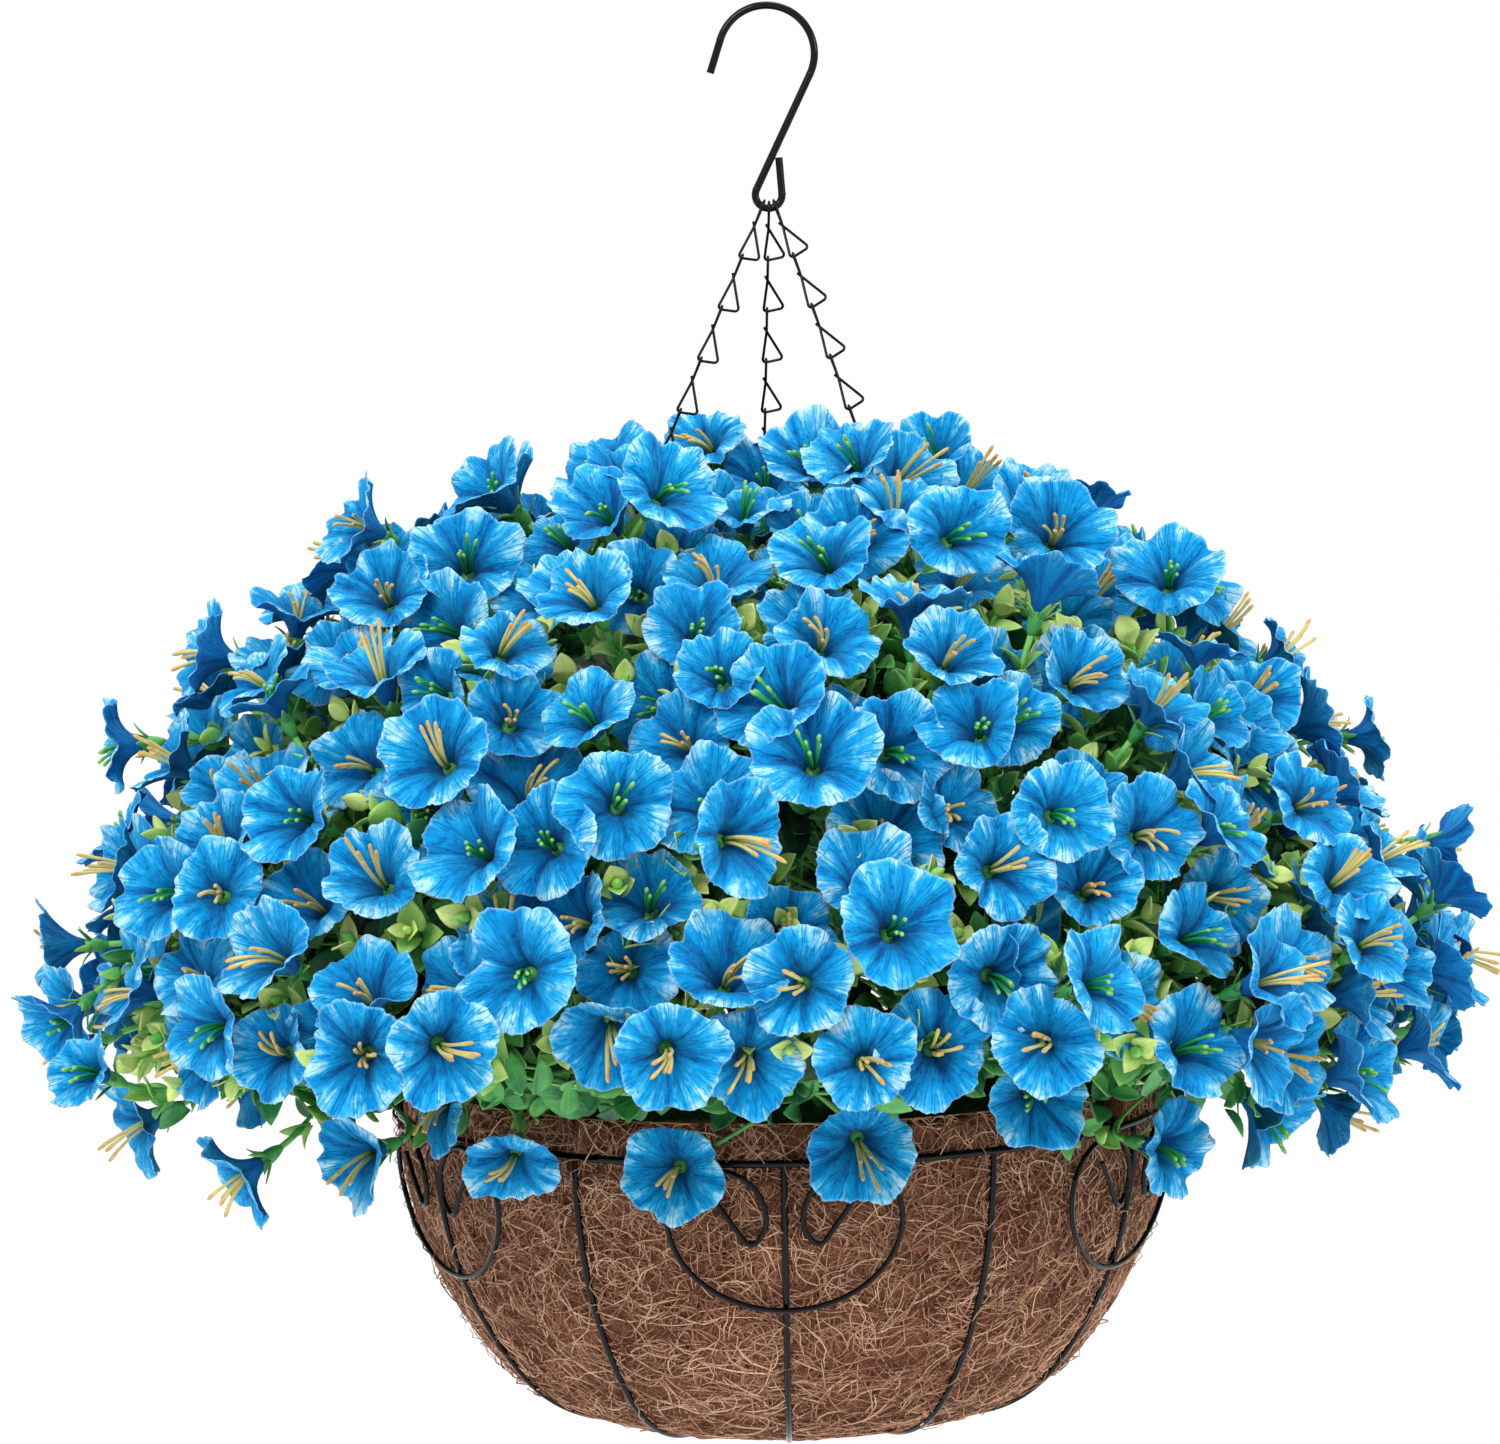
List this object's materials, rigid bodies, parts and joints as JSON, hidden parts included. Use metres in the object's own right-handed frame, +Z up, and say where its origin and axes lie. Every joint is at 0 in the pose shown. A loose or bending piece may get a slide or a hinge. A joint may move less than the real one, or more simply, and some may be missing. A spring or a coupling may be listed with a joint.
{
  "type": "hanging basket",
  "caption": "Round wire bowl basket with a coir liner, full of blue cloth flowers, hung on chains from an S-shaped hook.",
  "frame": {"origin": "inside top of the hook's upper bend, where the hook rests on its support", "axes": "+Z up, the hook lies in the XZ plane with its open side towards -X, -Y is the front"},
  "size_m": [0.58, 0.58, 0.5497],
  "materials": {
    "black_wire": "gloss black coating",
    "coir": "matte coconut fibre",
    "foam": "dry floral foam",
    "green_plastic": "moulded stems",
    "blue_cloth": "soft cloth petals with plastic leaves"
  },
  "bodies": {
    "hook": {"s_hook": "black_wire"},
    "basket": {"chain_left": "black_wire", "chain_back": "black_wire", "chain_right": "black_wire", "rim_clip_left": "black_wire", "rim_clip_back": "black_wire", "rim_clip_right": "black_wire", "rim_ring": "black_wire", "rib_1": "black_wire", "rib_2": "black_wire", "rib_3": "black_wire", "rib_4": "black_wire", "rib_5": "black_wire", "rib_6": "black_wire", "rib_7": "black_wire", "rib_8": "black_wire", "rib_9": "black_wire", "rib_10": "black_wire", "rib_11": "black_wire", "rib_12": "black_wire", "base_ring": "black_wire", "scroll_1": "black_wire", "scroll_2": "black_wire", "scroll_3": "black_wire", "scroll_4": "black_wire", "scroll_5": "black_wire", "scroll_6": "black_wire", "coir_liner": "coir", "foam_block": "foam", "centre_stem": "green_plastic", "crown_stem_1": "green_plastic", "crown_stem_2": "green_plastic", "crown_stem_3": "green_plastic", "crown_stem_4": "green_plastic", "crown_stem_5": "green_plastic", "crown_stem_6": "green_plastic", "trailing_stem_1": "green_plastic", "trailing_stem_2": "green_plastic", "trailing_stem_3": "green_plastic", "trailing_stem_4": "green_plastic", "trailing_stem_5": "green_plastic", "trailing_stem_6": "green_plastic", "centre_spray": "blue_cloth", "crown_spray_1": "blue_cloth", "crown_spray_2": "blue_cloth", "crown_spray_3": "blue_cloth", "crown_spray_4": "blue_cloth", "crown_spray_5": "blue_cloth", "crown_spray_6": "blue_cloth", "trailing_spray_1": "blue_cloth", "trailing_spray_2": "blue_cloth", "trailing_spray_3": "blue_cloth", "trailing_spray_4": "blue_cloth", "trailing_spray_5": "blue_cloth", "trailing_spray_6": "blue_cloth"}
  },
  "joints": [
    {"name": "basket_swing", "type": "hinge", "parent": "hook", "child": "basket", "pos_m": [0, 0, -0.07644], "axis": [1, 0, 0], "range_deg": [-20, 20]}
  ]
}
